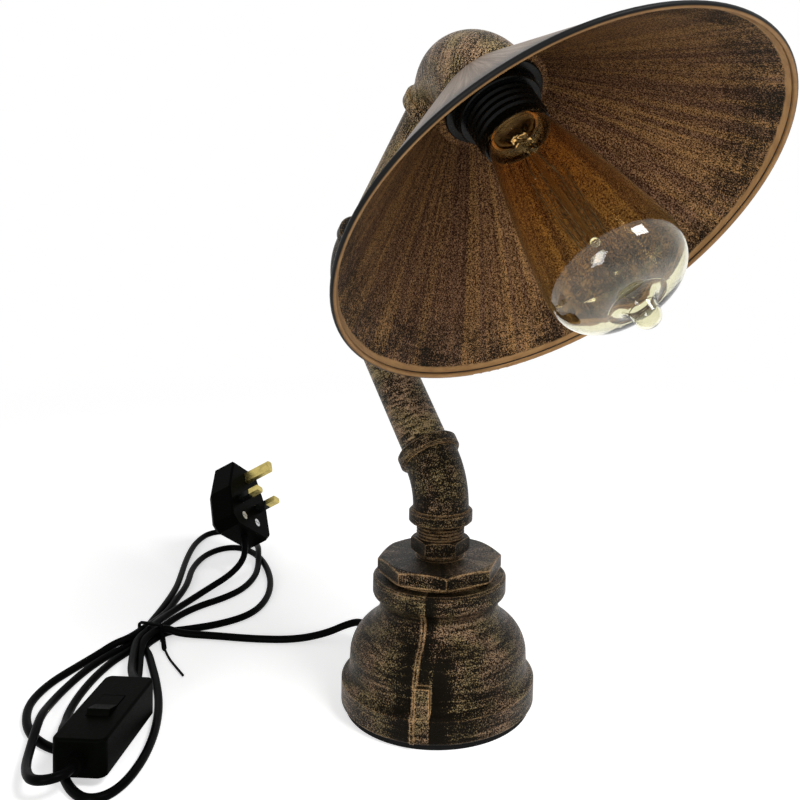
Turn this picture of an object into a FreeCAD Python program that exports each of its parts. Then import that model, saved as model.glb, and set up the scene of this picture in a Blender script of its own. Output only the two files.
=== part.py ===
import FreeCAD, Part
import math
import os

# Table lamp built from threaded pipe fittings. Millimetres, +Z up.
# The origin is on the floor under the centre of the base, and the shade reaches out towards -Y.
# The arm lies in the YZ plane: up and back, then up and forward, then down and forward.

# Base
PAD_RADIUS = 50.8
PAD_THICKNESS = 3.0
BAND_RADIUS = 53.0
BAND_TOP = 17.0
WAIST_RADIUS = 48.8
WAIST_TOP = 33.0
NECK_RADIUS = 32.6
NECK_HEIGHT = 54.5
RIM_RADIUS = 36.6
RIM_BOTTOM = 62.0
REDUCER_HEIGHT = 71.9
CASTING_WALL = 5.0
BASE_THREAD_RADIUS = 44.0
BASE_THREAD_DEPTH = 18.0
SEAM_AZIMUTHS = (-138.0, 42.0)
SEAM_WIDTH = 2.0
SEAM_PROUD = 0.8
LUG_TURN = 5.0
LUG_WIDTH = 7.6
LUG_BOTTOM = 13.5
LUG_TOP = 31.5
LUG_RADIUS = 52.2

# Octagon bush
OCTAGON_ACROSS = 63.3
OCTAGON_BOTTOM = 74.1
OCTAGON_TOP = 82.0
OCTAGON_TURN = -5.7
BUSH_THREAD_RADIUS = 29.4
BUSH_THREAD_LENGTH = 14.0
OCTAGON_BEVEL = 1.4

# Hexagon nipple and the pipe thread that all small fittings share
HEX_ACROSS = 28.1
HEX_BOTTOM = 84.7
HEX_TOP = 92.4
HEX_TURN = -64.2
THREAD_RADIUS = 13.20
THREAD_DEPTH = 0.9
THREAD_PITCH = 1.81
THREAD_ENGAGED = 12.0
SOCKET_CLEARANCE = 0.05
NIPPLE_BORE = 9.5

# Elbows and pipes
FITTING_BODY_RADIUS = 15.4
FITTING_BAND_RADIUS = 17.5
FITTING_BAND_LENGTH = 7.0
FITTING_BORE = 11.0
SOCKET_DEPTH = 13.0
LOWER_ELBOW_BOTTOM = 100.9
LOWER_ELBOW_REACH = 22.0
LOWER_ELBOW_BEND = 34.0
LOWER_ELBOW_ANGLE = 45.0
MIDDLE_ELBOW_REACH = 33.0
MIDDLE_ELBOW_BEND = 21.0
RIGHT_ANGLE = 90.0
PIPE_RADIUS = 13.25
PIPE_BORE = 10.5
LOWER_PIPE_VISIBLE = 100.5
UPPER_PIPE_VISIBLE = 98.3

# Top elbow, from the pipe thread to a wide outlet, turned a little as in the photograph
TOP_INLET_REACH = 40.6
TOP_OUTLET_REACH = 36.2
TOP_OUTLET_BAND_RADIUS = 28.3
TOP_OUTLET_BAND_LENGTH = 8.0
TOP_OUTLET_BODY_RADIUS = 25.6
TOP_OUTLET_BORE = 21.6
TOP_BEND_RADIUS = 28.0
TOP_BEND_STEPS = 8
HEAD_TURN = 2.1

# Lampholder, measured along the lamp axis from the face of the top elbow's outlet
PLUG_BOTTOM = -15.8
PLUG_THICKNESS = 3.0
TUBE_RADIUS = 4.95
TUBE_BORE = 3.6
HOLDER_CAP_RADIUS = 19.6
HOLDER_CAP_BACK = -12.4
HOLDER_WALL = 1.8
SKIRT_FRONT = 30.0
SKIRT_WALL = 1.1
SKIRT_THREAD_RADIUS = 19.5
SKIRT_THREAD_PITCH = 4.0
SHADE_RING_RADIUS = 27.6
SHADE_RING_THICKNESS = 2.2
SHADE_RING_COLLAR = 23.0
SHADE_RING_COLLAR_LENGTH = 7.0
CARRIER_RADIUS = 16.6
CARRIER_BACK = -8.5
CARRIER_FRONT = 0.0
SHELL_OUTER = 14.6
SHELL_WALL = 0.5
SHELL_FRONT = 20.0

# Shade
SHADE_SHEET = 1.2
SHADE_TOP = 0.4
SHADE_TOP_RADIUS = 32.0
SHADE_HOLE = 20.4
SHADE_RIM_RADIUS = 119.3
SHADE_RIM_PLANE = 86.5
SHADE_ROLL_RADIUS = 1.5

# Bulb, measured along the same axis
BULB_CONTACT_PLANE = 1.6
BULB_CAP_RADIUS = 12.8
BULB_CAP_TOP = 26.0
BULB_SEAT_RADIUS = 12.7
BULB_THROAT_RADIUS = 16.6
BULB_NECK_RADIUS = 17.6
BULB_SHOULDER_RADIUS = 33.2
BULB_SHOULDER_PLANE = 112.0
BULB_WIDE_RADIUS = 33.9
BULB_WIDE_PLANE = 119.0
BULB_END_PLANE = 140.0
BULB_PIP_RADIUS = 6.8
BULB_PIP_LENGTH = 12.5
BULB_PIP_FLAT = 0.8
BULB_GLASS = 0.9
BULB_LEAN = 1.6
BULB_LEAN_PLANE = 14.0
FILAMENT_RINGS = 4
FILAMENT_WIRE = 0.22
FILAMENT_LOW = 59.0
FILAMENT_HIGH = 101.0
STEM_TOP = 103.0

# Mains cord and what is on it
CORD_RADIUS = 2.25
GLAND_HEIGHT = 13.0
GLAND_HOLE = 6.0
GLAND_FLANGE = 9.0
GLAND_SLEEVE = 20.0
GLAND_TIP_RADIUS = 3.2
LEAD_RADIUS = 2.0
HANK_HEIGHT = 9.2
HANK_UNDER_SWITCH = 5.0

# The free stretch of the cord: gland, floor, and the near side of the tie
CORD_ROUTE = (
    (0.0, 76.0, 13.0),
    (0.0, 86.0, 13.0),
    (-5.0, 94.5, 9.5),
    (-18.0, 99.5, 4.5),
    (-36.0, 106.0, 2.6),
    (-56.0, 120.0, 2.6),
    (-76.0, 139.0, 2.6),
    (-93.0, 151.5, 3.4),
)
PLUG_LEAD_ROUTE = (
    (-18.9, 229.2, 29.5),
    (-20.9, 221.0, 22.1),
    (-27.0, 214.5, 15.5),
    (-38.0, 210.5, 9.8),
    (-44.0, 209.5, 8.5),
)

# Outlines of the tied loops on the floor, and the strands between them
UPPER_LOOPS = (
    (-100.0, 152.8), (-88.0, 152.6), (-66.0, 151.0), (-42.0, 152.0), (-21.0, 168.0), (-6.0, 196.0),
    (5.0, 226.0), (11.0, 254.0), (14.0, 280.0), (8.0, 312.0), (-4.0, 326.0), (-16.0, 323.0),
    (-34.0, 304.0), (-50.0, 277.0), (-66.0, 247.0), (-88.0, 205.0), (-108.0, 170.0),
)
LOWER_LOOPS = (
    (-124.0, 164.0), (-143.0, 154.0), (-160.0, 144.0), (-176.0, 134.0), (-190.0, 117.0),
    (-197.0, 98.0), (-201.0, 72.0), (-203.0, 50.0), (-201.0, 36.0), (-195.0, 24.0),
    (-189.0, 11.0), (-181.0, 5.0), (-172.0, 4.0), (-162.0, 9.0), (-150.0, 22.0),
    (-141.0, 37.0), (-133.0, 55.0), (-126.0, 77.0), (-120.0, 100.0), (-113.0, 122.0), (-110.0, 142.0),
)
TIE_CENTRE = (-108.6, 160.5)
TIE_AZIMUTH = 40.0
TIE_NECK_WIDTH = 13.8
TIE_NECK_LENGTH = 26.0
TIE_GROOVE = 4.0
TIE_WIRE_RADIUS = 0.7
TIE_TURN_SPACING = 1.3
TIE_BEND = 1.5
TIE_GAP = 0.3
TIE_KNOT_START = (0.0, -8.7, 2.2)
TIE_KNOT_END = (-12.5, -17.6, 1.6)
TIE_KNOT_RADIUS = 1.5
TIE_TAIL = ((-11.0, -16.5, 1.6), (-21.0, -26.0, 0.9), (-37.0, -45.0, 0.9))

# Inline switch
SWITCH_CENTRE = (-165.0, 49.0)
SWITCH_AZIMUTH = -128.4
SWITCH_LENGTH = 62.0
SWITCH_WIDTH = 26.0
SWITCH_HEIGHT = 18.0
SWITCH_SPLIT = 8.0
SWITCH_WALL = 1.8
SWITCH_NOSE_LENGTH = 5.0
SWITCH_NOSE_RADIUS = 4.4
ROCKER_LENGTH = 20.0
ROCKER_WIDTH = 11.0
ROCKER_PIVOT_HEIGHT = 15.0
ROCKER_GAP = 0.4
TRUNNION_RADIUS = 1.5
TRUNNION_CLEARANCE = 0.06
ROCKER_TILT = 8.0
ROCKER_PROUD = 1.7
SWITCH_POSTS = ((-24.0, 8.0), (24.0, -8.0))
POST_RADIUS = 3.0
SCREW_RADIUS = 1.2
SCREW_HEAD_RADIUS = 2.4

# Plug with three rectangular pins, in its own frame: pins point +Z, the cord leaves towards -Y
PLUG_PLACE = (-9.6, 242.0, 49.2)
PLUG_X_AXIS = (0.756, 0.325, -0.568)
PLUG_Z_AXIS = (0.629, -0.598, 0.496)
PLUG_HALF_WIDTH = 24.0
PLUG_TOP_HALF_WIDTH = 14.5
PLUG_LOW = -24.0
PLUG_HIGH = 32.0
PLUG_BASE_THICKNESS = 7.0
PLUG_DEPTH = 20.0
PIN_SPACING = 22.2
EARTH_PIN = (4.0, 8.0, 22.7)
LIVE_PIN = (6.35, 4.0, 17.7)
PIN_SLEEVE_LENGTH = 9.0
PIN_INSIDE = 9.6
FUSE_X = 13.2
FUSE_Z = -13.2
PLUG_GRIP_SCREWS = ((-8.0, -13.0), (8.0, -13.0))
PLUG_COVER_SCREW = (0.0, 8.0)
PLUG_SPLIT = -PLUG_BASE_THICKNESS
PLUG_CORD_Z = -8.0

# Cable inside the pipes
BASE_LEAD_END = LOWER_ELBOW_BOTTOM + 6.0
LEAD_IN_SOCKET = 6.0

X_AXIS = FreeCAD.Vector(1, 0, 0)
Y_AXIS = FreeCAD.Vector(0, 1, 0)
Z_AXIS = FreeCAD.Vector(0, 0, 1)
ORIGIN = FreeCAD.Vector(0, 0, 0)
HERE = FreeCAD.Placement()


def move(x, y, z):
    return FreeCAD.Placement(FreeCAD.Vector(x, y, z), FreeCAD.Rotation())


def turn(axis, angle):
    return FreeCAD.Placement(ORIGIN, FreeCAD.Rotation(axis, angle))


def placed(shape, frame):
    copy = shape.copy()
    copy.Placement = frame.multiply(copy.Placement)
    return copy


def point(frame, x, y, z):
    return frame.multVec(FreeCAD.Vector(x, y, z))


# Basic solids, each standing on its own z from low to high
def rod(radius, low, high):
    return Part.makeCylinder(radius, high - low, FreeCAD.Vector(0, 0, low))


def ring(outer, inner, low, high):
    return rod(outer, low, high).cut(rod(inner, low, high))


def box(x_size, y_size, low, high, x=0.0, y=0.0):
    corner = FreeCAD.Vector(x - x_size / 2, y - y_size / 2, low)
    return Part.makeBox(x_size, y_size, high - low, corner)


def prism(sides, across, low, high):
    corner_radius = across / 2 / math.cos(math.pi / sides)
    corners = []
    for index in range(sides + 1):
        angle = (index + 0.5) * 2 * math.pi / sides
        x = corner_radius * math.cos(angle)
        y = corner_radius * math.sin(angle)
        corners.append(FreeCAD.Vector(x, y, low))
    face = Part.Face(Part.makePolygon(corners))
    return face.extrude(FreeCAD.Vector(0, 0, high - low))


def fused(shapes):
    whole = shapes[0]
    for shape in shapes[1:]:
        whole = whole.fuse(shape)
    return whole.removeSplitter()


# A profile is a list of (radius, z) points. A step of two points is an arc through the first.
def profile_wire(steps):
    edges = []
    first = FreeCAD.Vector(steps[0][0], 0, steps[0][1])
    here = first
    for step in steps[1:]:
        if isinstance(step[0], tuple):
            middle = FreeCAD.Vector(step[0][0], 0, step[0][1])
            there = FreeCAD.Vector(step[1][0], 0, step[1][1])
            edges.append(Part.Arc(here, middle, there).toShape())
        else:
            there = FreeCAD.Vector(step[0], 0, step[1])
            edges.append(Part.makeLine(here, there))
        here = there
    edges.append(Part.makeLine(here, first))
    return Part.Wire(edges)


def turned(steps):
    return Part.Face(profile_wire(steps)).revolve(ORIGIN, Z_AXIS, 360)


# A thread is a row of rings, so it turns freely in its socket
def threaded(radius, low, high, pitch=THREAD_PITCH, depth=THREAD_DEPTH, bore=0.0):
    steps = [(bore, low), (radius - depth, low)]
    turns = int((high - low) / pitch)
    for index in range(turns):
        foot = low + index * pitch
        steps.append((radius - depth, foot + 0.15 * pitch))
        steps.append((radius, foot + 0.45 * pitch))
        steps.append((radius, foot + 0.6 * pitch))
        steps.append((radius - depth, foot + 0.9 * pitch))
    steps.append((radius - depth, high))
    steps.append((bore, high))
    return turned(steps)


def band(radius, low, high, bevel=1.0):
    return turned([
        (0, low), (radius - bevel, low), (radius, low + bevel),
        (radius, high - bevel), (radius - bevel, high), (0, high),
    ])


# Straight runs joined by tangent arcs
def rounded_wire(points, radius=None):
    edges = []
    radii = []
    here = points[0]
    for before, corner, after in zip(points, points[1:], points[2:]):
        inward = corner.sub(before)
        outward = after.sub(corner)
        half_turn = inward.getAngle(outward) / 2
        shorter = min(inward.Length, outward.Length)
        arc_radius = radius if radius else 0.45 * shorter / math.tan(half_turn)
        radii.append(arc_radius)
        inward.normalize()
        outward.normalize()
        reach = arc_radius * math.tan(half_turn)
        start = corner.sub(inward * reach)
        end = corner.add(outward * reach)
        inside = outward.sub(inward)
        inside.normalize()
        middle = corner.add(inside * (arc_radius / math.cos(half_turn) - arc_radius))
        edges.append(Part.LineSegment(here, start).toShape())
        edges.append(Part.Arc(start, middle, end).toShape())
        here = end
    edges.append(Part.LineSegment(here, points[-1]).toShape())
    return Part.Wire(edges), radii


def tube(name, points, radius, bend_radius=None):
    wire, radii = rounded_wire(points, bend_radius)
    direction = points[1].sub(points[0])
    section = Part.Wire(Part.makeCircle(radius, points[0], direction))
    solid = wire.makePipeShell([section], True, False)
    share = solid.Volume / (math.pi * radius ** 2 * wire.Length)
    smallest = min(radii) if radii else 0.0
    print(f"{name}: length {wire.Length:.1f}, smallest arc {smallest:.1f}, volume share {share:.3f}")
    return solid


# Elbows start at their inlet face, with the inlet along +Z, and turn towards -Y
def after_elbow(frame, reach_in, reach_out, angle):
    corner = frame.multiply(move(0, 0, reach_in))
    return corner.multiply(turn(X_AXIS, angle)).multiply(move(0, 0, reach_out))


def bent_rod(radius, reach, bend_radius, angle):
    straight = reach - bend_radius * math.tan(math.radians(angle / 2))
    disc = Part.Face(Part.Wire(Part.makeCircle(radius, FreeCAD.Vector(0, 0, straight), Z_AXIS)))
    bend = disc.revolve(FreeCAD.Vector(0, -bend_radius, straight), X_AXIS, angle)
    outlet = after_elbow(HERE, reach, reach, angle)
    legs = [rod(radius, 0, straight), bend, placed(rod(radius, -straight, 0), outlet)]
    return fused(legs)


def elbow(reach, bend_radius, angle):
    outlet = after_elbow(HERE, reach, reach, angle)
    collar = band(FITTING_BAND_RADIUS, 0, FITTING_BAND_LENGTH)
    far_collar = placed(band(FITTING_BAND_RADIUS, -FITTING_BAND_LENGTH, 0), outlet)
    body = fused([bent_rod(FITTING_BODY_RADIUS, reach, bend_radius, angle), collar, far_collar])
    socket_radius = THREAD_RADIUS + SOCKET_CLEARANCE
    socket = rod(socket_radius, 0, SOCKET_DEPTH)
    far_socket = placed(rod(socket_radius, -SOCKET_DEPTH, 0), outlet)
    hollow = fused([bent_rod(FITTING_BORE, reach, bend_radius, angle), socket, far_socket])
    return body.cut(hollow)


def pipe(visible):
    length = visible + 2 * THREAD_ENGAGED
    lower_thread = threaded(THREAD_RADIUS, 0, THREAD_ENGAGED)
    upper_thread = threaded(THREAD_RADIUS, length - THREAD_ENGAGED, length)
    barrel = rod(PIPE_RADIUS, THREAD_ENGAGED + 0.3, length - THREAD_ENGAGED - 0.3)
    core = rod(THREAD_RADIUS - THREAD_DEPTH, 0, length)
    return fused([core, lower_thread, barrel, upper_thread]).cut(rod(PIPE_BORE, 0, length))


# Frames down the arm
NIPPLE_FRAME = move(0, 0, LOWER_ELBOW_BOTTOM)
LOWER_ELBOW_FRAME = NIPPLE_FRAME.multiply(turn(Z_AXIS, 180))
LOWER_ELBOW_OUT = after_elbow(
    LOWER_ELBOW_FRAME, LOWER_ELBOW_REACH, LOWER_ELBOW_REACH, LOWER_ELBOW_ANGLE)
LOWER_PIPE_END = LOWER_ELBOW_OUT.multiply(move(0, 0, LOWER_PIPE_VISIBLE))
MIDDLE_ELBOW_FRAME = LOWER_PIPE_END.multiply(turn(Z_AXIS, 180))
MIDDLE_ELBOW_OUT = after_elbow(
    MIDDLE_ELBOW_FRAME, MIDDLE_ELBOW_REACH, MIDDLE_ELBOW_REACH, RIGHT_ANGLE)
UPPER_PIPE_END = MIDDLE_ELBOW_OUT.multiply(move(0, 0, UPPER_PIPE_VISIBLE))
TOP_ELBOW_FRAME = UPPER_PIPE_END.multiply(turn(Z_AXIS, HEAD_TURN))
LAMP_FRAME = after_elbow(TOP_ELBOW_FRAME, TOP_INLET_REACH, TOP_OUTLET_REACH, RIGHT_ANGLE)


# Base
def base_pad():
    return rod(PAD_RADIUS, 0, PAD_THICKNESS)


def reducer_outline(proud=0.0):
    return [
        (0, PAD_THICKNESS),
        (BAND_RADIUS + proud - 1.2, PAD_THICKNESS),
        (BAND_RADIUS + proud, PAD_THICKNESS + 1.2),
        (BAND_RADIUS + proud, BAND_TOP - 1.4),
        (BAND_RADIUS + proud - 1.2, BAND_TOP),
        ((WAIST_RADIUS + proud + 0.5, BAND_TOP + 2.4), (WAIST_RADIUS + proud, BAND_TOP + 5.5)),
        (WAIST_RADIUS + proud - 0.4, WAIST_TOP - 2.5),
        ((46.0 + proud, 38.0), (40.2 + proud, 44.6)),
        ((34.6 + proud, 49.7), (NECK_RADIUS + proud, NECK_HEIGHT)),
        (NECK_RADIUS + proud, NECK_HEIGHT + 2.0),
        ((34.0 + proud, RIM_BOTTOM - 2.5), (RIM_RADIUS + proud - 0.4, RIM_BOTTOM)),
        (RIM_RADIUS + proud, RIM_BOTTOM + 1.0),
        (RIM_RADIUS + proud, REDUCER_HEIGHT - 1.2),
        (RIM_RADIUS + proud - 1.2, REDUCER_HEIGHT),
        (0, REDUCER_HEIGHT),
    ]


def reducer_hollow():
    thread = BUSH_THREAD_RADIUS + SOCKET_CLEARANCE
    neck_inside = NECK_RADIUS - CASTING_WALL
    return turned([
        (0, PAD_THICKNESS),
        (BASE_THREAD_RADIUS, PAD_THICKNESS),
        (BASE_THREAD_RADIUS, BASE_THREAD_DEPTH),
        (WAIST_RADIUS - CASTING_WALL - 1.0, BASE_THREAD_DEPTH + 1.0),
        (WAIST_RADIUS - CASTING_WALL - 1.0, WAIST_TOP - 5.0),
        (neck_inside, NECK_HEIGHT - 6.0),
        (neck_inside, OCTAGON_BOTTOM - BUSH_THREAD_LENGTH - 1.0),
        (thread, OCTAGON_BOTTOM - BUSH_THREAD_LENGTH - 0.5),
        (thread, REDUCER_HEIGHT),
        (0, REDUCER_HEIGHT),
    ])


def base_reducer():
    body = turned(reducer_outline())
    proud = turned(reducer_outline(SEAM_PROUD))
    lug = rod(LUG_RADIUS, LUG_BOTTOM, LUG_TOP)
    reach = BAND_RADIUS + 10
    for azimuth in SEAM_AZIMUTHS:
        seam_slab = box(reach, SEAM_WIDTH, PAD_THICKNESS, RIM_BOTTOM, reach / 2)
        lug_slab = box(reach / 2, LUG_WIDTH, LUG_BOTTOM, LUG_TOP, reach * 0.75)
        seam = proud.common(placed(seam_slab, turn(Z_AXIS, azimuth)))
        body = body.fuse(seam).fuse(lug.common(placed(lug_slab, turn(Z_AXIS, azimuth + LUG_TURN))))
    hole = placed(rod(GLAND_HOLE + SOCKET_CLEARANCE, 0, BAND_RADIUS + 10), gland_frame(0))
    return body.cut(reducer_hollow()).cut(hole).removeSplitter()


def octagon_bush():
    head = prism(8, OCTAGON_ACROSS, OCTAGON_BOTTOM, OCTAGON_TOP)
    corner = OCTAGON_ACROSS / 2 / math.cos(math.pi / 8)
    bevel = turned([
        (0, OCTAGON_BOTTOM),
        (corner - OCTAGON_BEVEL / 2, OCTAGON_BOTTOM),
        (corner + 0.1, OCTAGON_BOTTOM + OCTAGON_BEVEL / 2),
        (corner + 0.1, OCTAGON_TOP - OCTAGON_BEVEL),
        (OCTAGON_ACROSS / 2 - OCTAGON_BEVEL / 2, OCTAGON_TOP),
        (0, OCTAGON_TOP),
    ])
    head = placed(head.common(bevel), turn(Z_AXIS, OCTAGON_TURN))
    thread = threaded(BUSH_THREAD_RADIUS, OCTAGON_BOTTOM - BUSH_THREAD_LENGTH, OCTAGON_BOTTOM)
    bore = rod(THREAD_RADIUS + SOCKET_CLEARANCE, OCTAGON_BOTTOM - BUSH_THREAD_LENGTH, OCTAGON_TOP)
    return fused([head, thread]).cut(bore)


def hex_nipple():
    head = prism(6, HEX_ACROSS, HEX_BOTTOM, HEX_TOP)
    corner = HEX_ACROSS / 2 / math.cos(math.pi / 6)
    bevel = turned([
        (0, HEX_BOTTOM), (corner - 1.3, HEX_BOTTOM), (corner, HEX_BOTTOM + 1.0),
        (corner, HEX_TOP - 1.0), (corner - 1.3, HEX_TOP), (0, HEX_TOP),
    ])
    head = placed(head.common(bevel), turn(Z_AXIS, HEX_TURN))
    low = OCTAGON_TOP - THREAD_ENGAGED
    high = LOWER_ELBOW_BOTTOM + THREAD_ENGAGED
    lower_thread = threaded(THREAD_RADIUS, low, HEX_BOTTOM)
    upper_thread = threaded(THREAD_RADIUS, HEX_TOP, high)
    return fused([lower_thread, head, upper_thread]).cut(rod(NIPPLE_BORE, low, high))


# The cord gland points backwards out of the base
def gland_frame(reach):
    return move(0, reach, GLAND_HEIGHT).multiply(turn(X_AXIS, -RIGHT_ANGLE))


def cord_gland():
    sleeve_foot = BAND_RADIUS + 3.0
    tip = sleeve_foot + GLAND_SLEEVE
    tail = BASE_THREAD_RADIUS - 7.0
    outline = turned([
        (0, tail),
        (GLAND_HOLE, tail),
        (GLAND_HOLE, BAND_RADIUS - 0.3),
        (GLAND_FLANGE, BAND_RADIUS - 0.3),
        (GLAND_FLANGE, sleeve_foot - 1.0),
        (GLAND_FLANGE - 1.5, sleeve_foot),
        (GLAND_HOLE - 0.6, sleeve_foot),
        (GLAND_TIP_RADIUS, tip),
        (0, tip),
    ])
    seat = rod(GLAND_FLANGE + 1.0, BASE_THREAD_RADIUS, BAND_RADIUS)
    barrel = placed(rod(GLAND_HOLE, tail, BAND_RADIUS), gland_frame(0))
    passage = placed(rod(GLAND_HOLE, 0, BAND_RADIUS), gland_frame(0))
    body = placed(outline, gland_frame(0)).cut(placed(seat, gland_frame(0)).cut(barrel))
    body = body.cut(rod(BAND_RADIUS + 0.02, 0, REDUCER_HEIGHT).cut(passage))
    return body.cut(placed(rod(LEAD_RADIUS + SOCKET_CLEARANCE, 0, tip), gland_frame(0)))


def gland_nut():
    flats = prism(6, 2 * GLAND_HOLE + 5.0, 0, 4.0).cut(rod(GLAND_HOLE + SOCKET_CLEARANCE, 0, 4.0))
    return placed(flats, gland_frame(BASE_THREAD_RADIUS - 6.0))


def base_lead():
    start = FreeCAD.Vector(0, BAND_RADIUS + 3.0 + GLAND_SLEEVE, GLAND_HEIGHT)
    corner = FreeCAD.Vector(0, 0, GLAND_HEIGHT)
    end = FreeCAD.Vector(0, 0, BASE_LEAD_END)
    return tube("base_lead", [start, corner, end], LEAD_RADIUS, 22.0)


# Arm
def lower_elbow():
    return placed(elbow(LOWER_ELBOW_REACH, LOWER_ELBOW_BEND, LOWER_ELBOW_ANGLE), LOWER_ELBOW_FRAME)


def lower_pipe():
    return placed(pipe(LOWER_PIPE_VISIBLE), LOWER_ELBOW_OUT.multiply(move(0, 0, -THREAD_ENGAGED)))


def arm_lead():
    start = FreeCAD.Vector(0, 0, BASE_LEAD_END)
    corner = point(LOWER_ELBOW_FRAME, 0, 0, LOWER_ELBOW_REACH)
    end = point(MIDDLE_ELBOW_FRAME, 0, 0, LEAD_IN_SOCKET)
    return tube("arm_lead", [start, corner, end], LEAD_RADIUS, LOWER_ELBOW_BEND)


def middle_elbow():
    return placed(elbow(MIDDLE_ELBOW_REACH, MIDDLE_ELBOW_BEND, RIGHT_ANGLE), MIDDLE_ELBOW_FRAME)


def upper_pipe():
    return placed(pipe(UPPER_PIPE_VISIBLE), MIDDLE_ELBOW_OUT.multiply(move(0, 0, -THREAD_ENGAGED)))


def forearm_lead():
    start = point(MIDDLE_ELBOW_FRAME, 0, 0, LEAD_IN_SOCKET)
    corner = point(MIDDLE_ELBOW_FRAME, 0, 0, MIDDLE_ELBOW_REACH)
    end = point(TOP_ELBOW_FRAME, 0, 0, LEAD_IN_SOCKET)
    return tube("forearm_lead", [start, corner, end], LEAD_RADIUS, MIDDLE_ELBOW_BEND)


# Top elbow: its round section grows from the pipe size to the outlet size round the bend
def growing_bend(first_radius, last_radius):
    straight = TOP_INLET_REACH - TOP_BEND_RADIUS
    sections = []
    for step in range(TOP_BEND_STEPS + 1):
        share = step / TOP_BEND_STEPS
        radius = first_radius + (last_radius - first_radius) * math.sin(share * math.pi / 2)
        pivot = move(0, -TOP_BEND_RADIUS, straight).multiply(turn(X_AXIS, RIGHT_ANGLE * share))
        section = Part.Wire(Part.makeCircle(radius, ORIGIN, Z_AXIS))
        sections.append(placed(section, pivot.multiply(move(0, TOP_BEND_RADIUS, 0))))
    return Part.makeLoft(sections, True, False)


def top_elbow():
    outlet = after_elbow(HERE, TOP_INLET_REACH, TOP_OUTLET_REACH, RIGHT_ANGLE)
    inlet_straight = TOP_INLET_REACH - TOP_BEND_RADIUS
    outlet_straight = TOP_OUTLET_REACH - TOP_BEND_RADIUS
    body = fused([
        rod(FITTING_BODY_RADIUS, 0, inlet_straight),
        band(FITTING_BAND_RADIUS, 0, FITTING_BAND_LENGTH),
        growing_bend(FITTING_BODY_RADIUS, TOP_OUTLET_BODY_RADIUS),
        placed(rod(TOP_OUTLET_BODY_RADIUS, -outlet_straight, 0), outlet),
        placed(band(TOP_OUTLET_BAND_RADIUS, -TOP_OUTLET_BAND_LENGTH, 0, 1.4), outlet),
    ])
    hollow = fused([
        rod(THREAD_RADIUS + SOCKET_CLEARANCE, 0, SOCKET_DEPTH),
        rod(FITTING_BORE, 0, inlet_straight),
        growing_bend(FITTING_BORE, TOP_OUTLET_BORE - 2.0),
        placed(rod(TOP_OUTLET_BORE - 2.0, -outlet_straight, 0), outlet),
        placed(rod(TOP_OUTLET_BORE, -outlet_straight - 8.0, 0), outlet),
    ])
    return placed(body.cut(hollow), TOP_ELBOW_FRAME)


def head_lead():
    start = point(TOP_ELBOW_FRAME, 0, 0, LEAD_IN_SOCKET)
    corner = point(TOP_ELBOW_FRAME, 0, 0, TOP_INLET_REACH)
    end = point(LAMP_FRAME, 0, 0, CARRIER_BACK - 0.2)
    return tube("head_lead", [start, corner, end], LEAD_RADIUS, 12.0)


# Lampholder, all along the lamp axis
def holder_plug():
    disc = rod(TOP_OUTLET_BORE - SOCKET_CLEARANCE, PLUG_BOTTOM, PLUG_BOTTOM + PLUG_THICKNESS)
    return disc.cut(rod(TUBE_RADIUS + SOCKET_CLEARANCE, PLUG_BOTTOM, PLUG_BOTTOM + PLUG_THICKNESS))


def holder_tube():
    low = PLUG_BOTTOM - 4.0
    return threaded(TUBE_RADIUS, low, CARRIER_BACK - 0.3, 1.0, 0.4, TUBE_BORE)


def tube_locknut():
    low = PLUG_BOTTOM - 3.2
    return prism(6, 15.0, low, PLUG_BOTTOM - 0.1).cut(rod(TUBE_RADIUS + SOCKET_CLEARANCE, low, PLUG_BOTTOM))


def holder_cap():
    inner = HOLDER_CAP_RADIUS - HOLDER_WALL
    cup = turned([
        (TUBE_RADIUS + SOCKET_CLEARANCE, HOLDER_CAP_BACK), (HOLDER_CAP_RADIUS - 2.0, HOLDER_CAP_BACK),
        (HOLDER_CAP_RADIUS, HOLDER_CAP_BACK + 2.0), (HOLDER_CAP_RADIUS, SHADE_TOP + SHADE_SHEET),
        (inner, SHADE_TOP + SHADE_SHEET), (inner, HOLDER_CAP_BACK + 3.0),
        (TUBE_RADIUS + SOCKET_CLEARANCE, HOLDER_CAP_BACK + 3.0),
    ])
    return cup


def holder_skirt():
    low = SHADE_TOP + SHADE_SHEET + 0.1
    core = SKIRT_THREAD_RADIUS - 1.0
    shell = threaded(SKIRT_THREAD_RADIUS, low, SKIRT_FRONT - 2.0, SKIRT_THREAD_PITCH, 1.0, core - SKIRT_WALL)
    lip = ring(core, core - SKIRT_WALL, SKIRT_FRONT - 2.5, SKIRT_FRONT)
    return fused([shell, lip])


def shade_ring():
    low = SHADE_TOP + SHADE_SHEET + 0.1
    inner = SKIRT_THREAD_RADIUS + SOCKET_CLEARANCE
    flange_top = low + SHADE_RING_THICKNESS
    collar_top = flange_top + SHADE_RING_COLLAR_LENGTH
    return turned([
        (inner, low), (SHADE_RING_RADIUS - 0.6, low), (SHADE_RING_RADIUS, low + 0.6),
        (SHADE_RING_RADIUS, flange_top - 0.6), (SHADE_RING_RADIUS - 0.6, flange_top),
        (SHADE_RING_COLLAR + 0.8, flange_top), (SHADE_RING_COLLAR, flange_top + 0.8),
        (SHADE_RING_COLLAR, collar_top - 0.6),
        (SHADE_RING_COLLAR - 0.6, collar_top),
        (inner, collar_top),
    ])


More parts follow.
